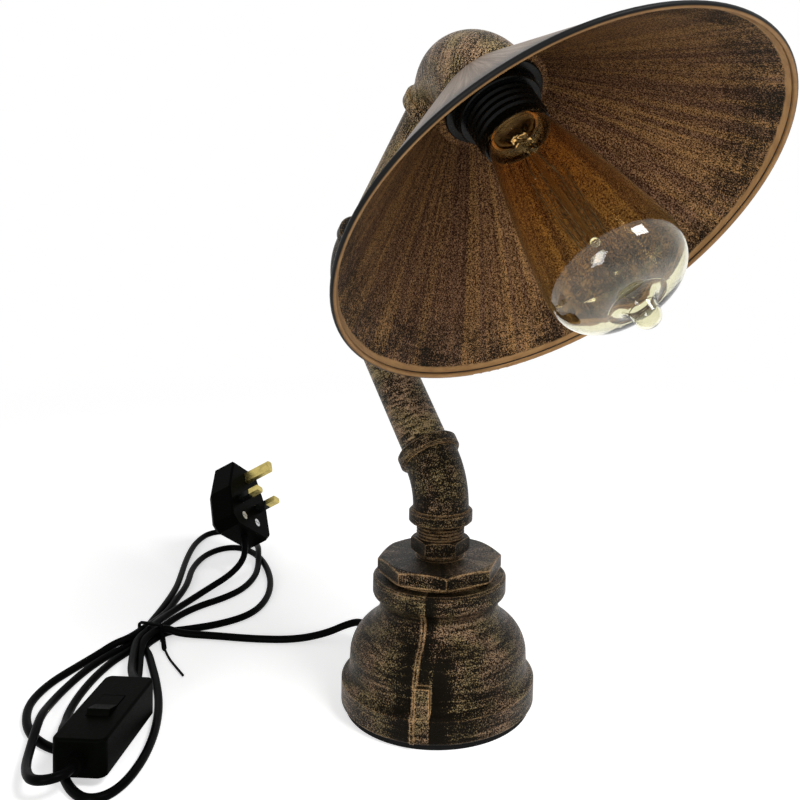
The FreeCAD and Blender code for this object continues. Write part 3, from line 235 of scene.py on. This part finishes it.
# Their finish: grain, strokes and patches add up to a level, bronze comes in over a span of it,
# and sharp edges are worn where it is high
GRAIN_SCALE = 1600
STREAK_SCALES = (14, 26)
HOOP_SCALES = (560, 2.6)
PATCH_SCALE = 38
PATCH_WEIGHT = 0.26
BRONZE_START = 0.66
BRONZE_SPAN = 0.15
COVER_SHIFT = 0.13
HUE_SCALE = 70
EDGE_SHARPNESS = (0.03, 0.20)
WEAR_LEVEL = (0.68, 0.92)
RUBBED_ROUGHNESS = (0.42, 0.30)
RUBBED_RELIEF = 0.0010

# The front mould line of the base: across it to the lug's side, and out through it
SEAM_ACROSS = (0.669, -0.743, 0.0)
SEAM_OUTWARD = (-0.743, -0.669, 0.0)


def strip(shader, near_edge, far_edge):
    """1 between two edges and 0 outside them."""
    return shader.math("MAXIMUM", shader.minus(near_edge, far_edge), 0.0)


def seam_shadow(shader):
    """Painted shadow in the corners beside the front mould line of the base and past its lug, where
    shade falls.
    """
    across = shader.along(BASE_CENTRE, SEAM_ACROSS)
    front = shader.ramp(shader.along(BASE_CENTRE, SEAM_OUTWARD), 0.0, 0.02)
    height = shader.along(BASE_CENTRE, VERTICAL)
    uneven = shader.times(shader.noise(shader.place, 160, 3, 0.6), 0.010)
    ragged = shader.plus(across, uneven)
    past_lug = strip(shader, shader.ramp(across, 0.0082, 0.0096), shader.ramp(ragged, 0.016, 0.028))
    past_lug = shader.times(past_lug, shader.ramp(height, 0.032, 0.050, 0.24, 0.0))
    left = strip(shader, shader.ramp(ragged, -0.010, 0.001), shader.ramp(across, -0.0025, -0.0015))
    left = shader.times(left, shader.ramp(height, 0.034, 0.060, 0.13, 0.02))
    right = strip(shader, shader.ramp(across, 0.0012, 0.0022), shader.ramp(ragged, 0.008, 0.016))
    right = shader.times(right, shader.ramp(height, 0.030, 0.034, 0.0, 0.13))
    return shader.times(shader.plus(shader.plus(past_lug, left), right), front)


def rubbed_metal(name, origin, axis, cover=0.5, long_strokes=False, light=1.0, worn=0.0016,
                 stroke_weight=0.42, seam=False):
    """Blackened casting or pipe: bronze rubbed over a raised grain, and worn off its edges.

    cover is how much bronze there is, light how bright it is, worn how wide the worn edges are.
    """
    shader = Shader(name)
    worms = grain(shader, GRAIN_SCALE)
    if long_strokes:
        strokes = streaks(shader, origin, axis, *STREAK_SCALES)
    else:
        strokes = hoops(shader, origin, axis, *HOOP_SCALES)
    patches = shader.noise(shader.place, PATCH_SCALE, 3, 0.55)
    level = shader.weighted((worms, 1.0), (strokes, stroke_weight), (patches, PATCH_WEIGHT))
    # Painted shadow: bronze and worn edges are taken off beside the base's front mould line and lug
    if seam:
        level = shader.minus(level, seam_shadow(shader))
    start = BRONZE_START + stroke_weight / 2 - COVER_SHIFT * (cover - 0.5)
    share = shader.ramp(level, start, start + BRONZE_SPAN)
    hue = shader.ramp(shader.noise(shader.place, HUE_SCALE, 2, 0.5), 0.38, 0.64)
    olive = tuple(part * light for part in OLIVE)
    pink = tuple(part * light for part in PINK)
    colour = shader.mix(share, DARK, shader.mix(hue, olive, pink))
    edges = shader.ramp(shader.edge(worn), *EDGE_SHARPNESS)
    wear = shader.times(edges, shader.ramp(level, *WEAR_LEVEL))
    shader.set(Base_Color=shader.mix(wear, colour, WORN))
    shader.set(Metallic=RUBBED_METALLIC, Specular_IOR_Level=DULL_SPECULAR)
    shader.set(Roughness=shader.ramp(share, 0.0, 1.0, *RUBBED_ROUGHNESS))
    shader.bump(level, 0.7, RUBBED_RELIEF)
    return shader.material


# Colours of the shade: the ridges and hollows of its grain inside, the band near the rim, the
# brushed outside, and the rolled rim. A pair is the two ends of a change of tint.
RIDGES = ((0.290, 0.158, 0.090), (0.430, 0.235, 0.090))
HOLLOW = (0.021, 0.0070, 0.0018)
HOLLOW_AT_RIM = (0.007, 0.005, 0.0020)
BAND = ((0.260, 0.142, 0.058), (0.350, 0.200, 0.085))
BRUSHED = ((0.150, 0.110, 0.082), (0.300, 0.225, 0.172))
BRUSHED_AT_RIM = (0.060, 0.052, 0.046)
RIM_BLACK = (0.012, 0.012, 0.012)
SHADE_METALLIC = 0.4
SHADE_ROUGHNESS = (0.46, 0.36)
SHADE_RELIEF = 0.0008

# Its grain, and its strokes down the cone and round it
SHADE_GRAIN_SCALE = 1500
RAY_SCALES = (15, 15)
FINE_RAY_SCALES = (60, 24)
RING_SCALES = (520, 9)
RIDGE_LEVEL = (0.66, 0.86)

# Where the colours change, as distances from the lamp's axis
DARK_ZONE = (0.088, 0.110)
BAND_EDGE = (0.1150, 0.1158)
OUTSIDE_DARKENS = (0.090, 0.1165)
RIM_EDGE = (0.1178, 0.1186)


def shade_sheet(name):
    """Cone: copper brown grain inside with strokes down it, a plain band, brushed outside."""
    shader = Shader(name)
    radius = from_axis(shader, LAMP_FACE, LAMP_AXIS)[1]
    worms = grain(shader, SHADE_GRAIN_SCALE)
    rays = streaks(shader, LAMP_FACE, LAMP_AXIS, *RAY_SCALES, detail=5)
    fine_rays = streaks(shader, LAMP_FACE, LAMP_AXIS, *FINE_RAY_SCALES)
    rings = hoops(shader, LAMP_FACE, LAMP_AXIS, *RING_SCALES)
    near_rim = shader.ramp(radius, *DARK_ZONE)
    level = shader.weighted((worms, 1.1), (rays, 0.20), (fine_rays, 0.16))
    patches = shader.noise(shader.place, 42, 3, 0.6)
    rim_level = shader.weighted((patches, -0.34), (rings, 0.26))
    level = shader.plus(level, shader.times(rim_level, near_rim))
    share = shader.ramp(level, *RIDGE_LEVEL)
    ridge = shader.mix(shader.ramp(rays, 0.36, 0.64), *RIDGES)
    hollow = shader.mix(near_rim, HOLLOW, HOLLOW_AT_RIM)
    inside = shader.mix(share, hollow, ridge)
    ragged = shader.plus(radius, shader.times(rings, 0.0016))
    band = shader.ramp(ragged, *BAND_EDGE)
    inside = shader.mix(band, inside, shader.mix(shader.ramp(rings, 0.35, 0.7), *BAND))
    outside = shader.mix(shader.ramp(fine_rays, 0.35, 0.68), *BRUSHED)
    outside = shader.mix(shader.ramp(radius, *OUTSIDE_DARKENS), outside, BRUSHED_AT_RIM)
    normal = shader.add("ShaderNodeTexCoord").outputs["Normal"]
    facing = shader.vector("DOT_PRODUCT", normal, tuple(LAMP_AXIS))
    side = shader.ramp(facing, -0.05, 0.05)
    colour = shader.mix(side, outside, inside)
    shader.set(Base_Color=shader.mix(shader.ramp(radius, *RIM_EDGE), colour, RIM_BLACK))
    shader.set(Metallic=SHADE_METALLIC, Specular_IOR_Level=DULL_SPECULAR)
    shader.set(Roughness=shader.ramp(share, 0.0, 1.0, *SHADE_ROUGHNESS))
    relief = shader.times(level, shader.minus(1.0, band))
    shader.bump(shader.times(relief, side), 0.6, SHADE_RELIEF)
    return shader.material


def plastic(name, colour, roughness, texture=0.1, gloss=0.25):
    """Moulded surface with a fine texture and a little unevenness in its colour and gloss."""
    shader = Shader(name)
    spots = shader.noise(shader.place, 900, 3, 0.6)
    wide = shader.noise(shader.place, 60, 3, 0.6)
    lighter = tuple(min(1.0, part * 1.3 + 0.0002) for part in colour)
    shader.set(Base_Color=shader.mix(shader.ramp(wide, 0.35, 0.7), colour, lighter))
    shader.set(Specular_IOR_Level=gloss)
    shader.set(Roughness=shader.ramp(spots, 0.3, 0.7, roughness - 0.05, roughness + 0.06))
    shader.bump(spots, texture, 0.0002)
    return shader.material


def plain_metal(name, colour, roughness):
    """Bare metal with fine scratches and some tarnish."""
    shader = Shader(name)
    stretched = shader.vector("MULTIPLY", shader.place, (300, 300, 2400))
    scratches = shader.noise(stretched, 1.0, 4, 0.6)
    tarnish = shader.noise(shader.place, 180, 4, 0.6)
    darker = tuple(part * 0.62 for part in colour)
    shader.set(Base_Color=shader.mix(shader.ramp(tarnish, 0.42, 0.75), colour, darker))
    shader.set(Metallic=1.0)
    shader.set(Roughness=shader.ramp(scratches, 0.3, 0.7, roughness - 0.07, roughness + 0.1))
    shader.bump(scratches, 0.08, 0.0002)
    return shader.material


def dress(material, *nodes):
    """Give every slot of the named pieces one material."""
    for name in nodes:
        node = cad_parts[name]
        for index in range(max(1, len(node.material_slots))):
            if node.material_slots:
                node.material_slots[index].material = material
            else:
                node.data.materials.append(material)


# Mains cord: the free stretch in metres, then the tied loops and the way through the switch
# in millimetres, and the lead up to the plug in metres
MM_PER_METRE = 1000
CORD_DIAMETER = 0.0045
CORD_ROUTE = (
    (0.0, 0.0760, 0.0130),
    (0.0, 0.0860, 0.0130),
    (-0.0050, 0.0945, 0.0095),
    (-0.0180, 0.0995, 0.0045),
    (-0.0360, 0.1060, 0.0026),
    (-0.0560, 0.1200, 0.0026),
    (-0.0760, 0.1390, 0.0026),
)
LOOPS_TO_SWITCH = (
    (-93.0, 151.5, 3.4), (-100.5, 157.0, 6.9), (-107.3, 156.3, 6.9), (-117.2, 147.3, 6.9),
    (-122.5, 135.0, 4.6), (-128.0, 119.0, 2.4), (-134.5, 101.0, 2.3), (-139.0, 88.0, 2.3),
    (-146.0, 72.0, 2.3), (-154.0, 58.0, 2.3), (-164.0, 50.0, 2.3), (-175.0, 50.0, 2.3),
    (-184.0, 56.0, 2.3), (-190.0, 67.0, 2.3), (-193.5, 81.0, 2.3), (-192.5, 98.0, 2.3),
    (-187.0, 115.0, 2.3), (-174.0, 131.0, 2.3), (-157.5, 142.5, 2.3), (-142.5, 152.0, 2.6),
    (-132.0, 155.5, 5.2), (-123.0, 154.8, 6.9), (-112.4, 163.4, 6.9), (-102.6, 173.5, 4.8),
    (-89.5, 189.0, 2.3), (-77.6, 206.1, 2.3), (-65.6, 222.7, 2.3), (-57.5, 237.3, 2.3),
    (-49.5, 254.5, 2.3), (-38.0, 271.0, 2.3), (-26.5, 281.5, 2.3), (-14.0, 286.5, 2.3),
    (-3.0, 283.5, 2.3), (2.8, 271.0, 2.3), (3.5, 252.0, 2.3), (-1.0, 227.0, 2.3),
    (-11.0, 198.0, 2.3), (-26.0, 172.5, 2.3), (-44.0, 156.5, 2.3), (-66.0, 153.5, 2.3),
    (-86.0, 157.5, 2.3), (-97.0, 161.0, 2.3), (-106.4, 156.3, 2.3), (-117.2, 147.3, 2.3),
    (-117.0, 137.0, 2.3), (-120.0, 121.0, 2.3), (-124.0, 100.0, 2.3), (-130.0, 76.0, 2.3),
    (-138.0, 55.0, 2.3), (-146.0, 39.0, 2.3), (-155.0, 25.0, 2.3), (-166.0, 12.5, 2.3),
    (-176.0, 7.0, 2.3), (-184.0, 9.5, 2.3), (-187.5, 19.0, 2.3), (-188.2, 31.0, 2.3),
    (-187.0, 43.0, 2.4), (-185.8, 51.0, 5.5), (-183.6, 59.5, 7.0), (-180.6, 69.5, 6.6),
    (-177.0, 80.0, 3.4), (-172.5, 92.5, 2.3), (-164.0, 107.5, 2.3), (-151.5, 124.5, 2.3),
    (-138.0, 138.5, 2.3), (-127.0, 146.0, 2.3), (-120.1, 150.9, 2.3), (-109.4, 159.9, 2.3),
    (-99.0, 169.2, 2.3), (-83.0, 181.5, 2.3), (-67.0, 188.7, 2.3), (-48.5, 192.3, 2.3),
    (-31.0, 200.5, 2.3), (-15.0, 217.5, 2.3), (-5.0, 235.0, 3.2), (0.5, 248.0, 6.6),
    (5.2, 259.0, 7.0), (9.0, 270.0, 5.6), (12.0, 284.0, 2.6), (13.5, 299.0, 2.3),
    (11.5, 314.0, 2.3), (2.5, 326.0, 2.3), (-9.5, 326.5, 2.3), (-20.0, 317.5, 2.3),
    (-31.0, 303.5, 2.3), (-45.5, 277.5, 2.3), (-59.0, 249.5, 2.3), (-69.0, 229.0, 2.3),
    (-80.9, 210.0, 2.3), (-92.7, 193.0, 2.3), (-105.1, 176.6, 2.3), (-112.6, 163.6, 2.3),
    (-123.1, 154.4, 2.3), (-131.0, 151.0, 2.3), (-139.5, 146.8, 2.3), (-154.0, 135.5, 2.3),
    (-170.0, 118.0, 2.4), (-180.5, 102.0, 4.0), (-187.0, 88.0, 7.0), (-192.0, 75.0, 7.2),
    (-197.5, 60.0, 6.0), (-202.0, 46.0, 7.0), (-204.3, 33.0, 9.5), (-204.1, 21.5, 12.0),
    (-198.3, 16.2, 13.0), (-190.4, 16.8, 13.0), (-184.5, 24.3, 13.0), (-176.0, 35.1, 13.0),
    (-165.0, 49.0, 13.0), (-154.0, 62.9, 13.0), (-145.5, 73.7, 13.0), (-140.3, 81.5, 13.0),
    (-138.2, 96.0, 11.0), (-134.5, 112.0, 7.6), (-128.0, 131.0, 7.0), (-120.1, 150.6, 6.9),
    (-109.4, 160.2, 6.9), (-102.0, 170.0, 6.0), (-92.0, 182.0, 3.6), (-79.0, 194.0, 2.3),
    (-64.5, 203.0, 3.2), (-52.0, 208.0, 5.6),
)
PLUG_LEAD = (
    (-0.0380, 0.2105, 0.0098),
    (-0.0270, 0.2145, 0.0155),
    (-0.0209, 0.2210, 0.0221),
    (-0.0189, 0.2292, 0.0295),
)


def cord_curve(name, points, diameter):
    """A round cord along one smooth curve."""
    data = bpy.data.curves.new(name, "CURVE")
    data.dimensions = "3D"
    spline = data.splines.new("NURBS")
    spline.points.add(len(points) - 1)
    for control, place in zip(spline.points, points):
        control.co = (*place, 1.0)
        control.radius = diameter / 2
    spline.order_u = 3
    spline.use_endpoint_u = True
    spline.resolution_u = 8
    data.bevel_depth = 1.0
    data.bevel_resolution = 5
    data.use_fill_caps = True
    piece = bpy.data.objects.new(name, data)
    scene.collection.objects.link(piece)
    return piece


def curve_length(piece):
    """Length of a cord's centre line, in metres."""
    line = piece.data.copy()
    line.bevel_depth = 0
    probe = bpy.data.objects.new("probe", line)
    mesh = bpy.data.meshes.new_from_object(probe)
    places = [vertex.co for vertex in mesh.vertices]
    total = sum((b - a).length for a, b in zip(places, places[1:]))
    bpy.data.objects.remove(probe)
    return total


loops = [tuple(part / MM_PER_METRE for part in point) for point in LOOPS_TO_SWITCH]
cord_points = list(CORD_ROUTE) + loops + list(PLUG_LEAD)
cord = cord_curve("mains_cord", cord_points, CORD_DIAMETER)
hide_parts("cord_lead", "cord_hank", "cord_plug_lead")
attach(cord, "base")

# Materials
base_iron = rubbed_metal("base_iron", BASE_CENTRE, VERTICAL, cover=0.72, worn=0.0019, seam=True)
bush_iron = rubbed_metal("bush_iron", BASE_CENTRE, VERTICAL, cover=0.45, worn=0.0024)
nipple_iron = rubbed_metal(
    "nipple_iron", BASE_CENTRE, VERTICAL, cover=0.25, light=0.8, worn=0.0006)
lower_iron = rubbed_metal("lower_iron", LOWER_CORNER, (0, 0.4, 0.9))
middle_iron = rubbed_metal("middle_iron", MIDDLE_CORNER, (0, 1, 0))
# light=1.6 makes the top elbow the brightest fitting: painted highlight, for the glossy light it
# catches
top_iron = rubbed_metal("top_iron", TOP_CORNER, (0, -1, 0), cover=1.1, light=1.6)
arm_pipe = rubbed_metal(
    "arm_pipe", LOWER_CORNER, ARM_AXIS, cover=1.0, light=1.2, stroke_weight=0.62)
forearm_pipe = rubbed_metal(
    "forearm_pipe", MIDDLE_CORNER, FOREARM_AXIS, cover=1.1, long_strokes=True, light=1.4)
shade_metal = shade_sheet("shade_metal")
black_gloss = plastic("black_gloss", (0.0035, 0.0042, 0.0036), 0.26, texture=0.03, gloss=0.12)
black_satin = plastic("black_satin", (0.0009, 0.0012, 0.0007), 0.42, texture=0.12, gloss=0.008)
black_rubber = plastic("black_rubber", (0.004, 0.004, 0.004), 0.75, texture=0.3, gloss=0.1)
sheath = plastic("sheath", (0.0014, 0.0017, 0.0014), 0.36, texture=0.05, gloss=0.012)
ceramic = plastic("ceramic", (0.78, 0.76, 0.7), 0.25, texture=0.03)
brass = plain_metal("brass", (0.56, 0.45, 0.15), 0.28)
steel = plain_metal("steel", (0.55, 0.55, 0.56), 0.3)
tungsten = plain_metal("tungsten", (0.32, 0.3, 0.28), 0.4)
cap_brass = plain_metal("cap_brass", (0.6, 0.52, 0.36), 0.3)

dress(base_iron, "base_reducer")
dress(bush_iron, "octagon_bush")
dress(nipple_iron, "hex_nipple")
dress(lower_iron, "lower_elbow")
dress(middle_iron, "middle_elbow")
dress(top_iron, "top_elbow")
dress(arm_pipe, "lower_pipe")
dress(forearm_pipe, "upper_pipe")
dress(shade_metal, "shade")
dress(black_gloss, "holder_plug", "holder_cap", "holder_skirt", "shade_ring",
      "bulb_insulator", "plug_pin_sleeves")
dress(black_satin, "gland_nut", "switch_base", "switch_cover", "switch_rocker",
      "plug_base", "plug_cover", "plug_cord_grip")
dress(black_rubber, "base_pad")
dress(sheath, "cord_gland", "base_lead", "arm_lead", "forearm_lead", "head_lead", "twist_tie")
dress(ceramic, "contact_carrier", "plug_fuse")
dress(brass, "holder_tube", "screw_shell", "centre_contact", "switch_terminals",
      "switch_contact", "plug_earth_pin", "plug_line_pin", "plug_neutral_pin", "plug_fuse_clips")
dress(steel, "tube_locknut", "terminal_screws", "switch_screws", "plug_grip_screws",
      "plug_cover_screw")
dress(tungsten, "bulb_leads", "bulb_filament")
dress(cap_brass, "bulb_cap", "bulb_contact")
cord.data.materials.append(sheath)

# The bulb's lacquer at its neck, over its body and at its clear end, and where it changes, as
# distances along the lamp's axis
NECK_AMBER = (0.90, 0.66, 0.38)
BODY_AMBER = (0.95, 0.82, 0.56)
CLEAR_END = (0.90, 0.88, 0.70)
NECK_ZONE = (0.030, 0.075)
END_ZONE = (0.088, 0.124)
STEM_COLOUR = (0.92, 0.90, 0.82)
GLASS_IOR = 1.45


def make_glass(shader):
    """Clear glass with a faint ripple in its polish."""
    ripple = shader.noise(shader.place, 35, 2, 0.5)
    shader.set(Transmission_Weight=1.0, IOR=GLASS_IOR)
    shader.set(Roughness=shader.ramp(ripple, 0.3, 0.7, 0.0, 0.03))


def glass(name, colour):
    """Glass of one colour."""
    shader = Shader(name)
    make_glass(shader)
    shader.set(Base_Color=(*colour, 1.0))
    return shader.material


def bulb_shell(name):
    """Amber lacquer that runs out towards the bulb's clear end."""
    shader = Shader(name)
    make_glass(shader)
    distance = shader.along(LAMP_FACE, LAMP_AXIS)
    uneven = shader.times(shader.noise(shader.place, 60, 2, 0.5), 0.008)
    end = shader.ramp(shader.plus(distance, uneven), *END_ZONE)
    amber = shader.mix(shader.ramp(distance, *NECK_ZONE), NECK_AMBER, BODY_AMBER)
    shader.set(Base_Color=shader.mix(end, amber, CLEAR_END))
    return shader.material


dress(bulb_shell("amber_glass"), "bulb_glass")
dress(glass("clear_glass", STEM_COLOUR), "bulb_stem")


# Floor and light. What the camera, reflections and glass see behind the lamp is plain white.
FLOOR_SIZE = 6.0
FLOOR_PALE = ((0.84, 0.84, 0.84), (0.86, 0.86, 0.86))
FLOOR_BLACK = (0.0, 0.0, 0.0)
FLOOR_FADE = (0.5, 1.2)
FLOOR_NEAR_GLOW = 0.56
FLOOR_FAR_GLOW = 0.45
WORLD_LIGHT = 0.28
LIGHT_TARGET = Vector((0, 0, 0.15))


def seen_white(tree):
    """1 where the camera, a reflection or glass looks, and 0 for the light on surfaces."""
    path = tree.nodes.new("ShaderNodeLightPath")
    total = path.outputs["Is Camera Ray"]
    for name in ("Is Glossy Ray", "Is Transmission Ray"):
        either = tree.nodes.new("ShaderNodeMath")
        either.operation = "MAXIMUM"
        tree.links.new(total, either.inputs[0])
        tree.links.new(path.outputs[name], either.inputs[1])
        total = either.outputs[0]
    return total


floor_shader = Shader("floor")
speckle = floor_shader.noise(floor_shader.place, 900, 2, 0.5)
far = floor_shader.ramp(floor_shader.vector("LENGTH", floor_shader.place), *FLOOR_FADE)
pale = floor_shader.mix(speckle, *FLOOR_PALE)
floor_shader.set(Base_Color=floor_shader.mix(far, pale, FLOOR_BLACK), Roughness=0.9)
floor_shader.set(Specular_IOR_Level=0.0, Emission_Color=(1.0, 1.0, 1.0, 1.0))
white = seen_white(floor_shader.tree)
far_glow = floor_shader.math("MULTIPLY_ADD", white, 1.0 - FLOOR_FAR_GLOW, FLOOR_FAR_GLOW)
near_glow = floor_shader.times(white, FLOOR_NEAR_GLOW)
rise = floor_shader.minus(far_glow, near_glow)
floor_shader.set(Emission_Strength=floor_shader.math("MULTIPLY_ADD", rise, far, near_glow))
floor_mesh = bpy.data.meshes.new("floor")
floor_form = bmesh.new()
bmesh.ops.create_grid(floor_form, x_segments=1, y_segments=1, size=FLOOR_SIZE)
floor_form.to_mesh(floor_mesh)
floor_form.free()
floor = bpy.data.objects.new("floor", floor_mesh)
floor.data.materials.append(floor_shader.material)
scene.collection.objects.link(floor)

world = bpy.data.worlds.new("world")
world.use_nodes = True
background = world.node_tree.nodes["Background"]
background.inputs[0].default_value = (1, 1, 1, 1)
strength = world.node_tree.nodes.new("ShaderNodeMapRange")
strength.inputs["To Min"].default_value = WORLD_LIGHT
strength.inputs["To Max"].default_value = 1.0
world.node_tree.links.new(seen_white(world.node_tree), strength.inputs["Value"])
world.node_tree.links.new(strength.outputs[0], background.inputs[1])
scene.world = world


def window_light(name, place, width, height, power):
    """A rectangular light turned towards the lamp."""
    data = bpy.data.lights.new(name, "AREA")
    data.shape = "RECTANGLE"
    data.size = width
    data.size_y = height
    data.energy = power
    light = bpy.data.objects.new(name, data)
    light.location = place
    direction = LIGHT_TARGET - Vector(place)
    light.rotation_euler = direction.to_track_quat("-Z", "Y").to_euler()
    scene.collection.objects.link(light)


window_light("key", (0.3, -1.3, 1.6), width=0.6, height=0.6, power=25)
window_light("fill", (-1.5, -1.1, 0.4), width=0.6, height=0.9, power=17)

scene.view_settings.view_transform = "Standard"

# Length of the cord's centre line, worked out and not used
curve_length(cord)
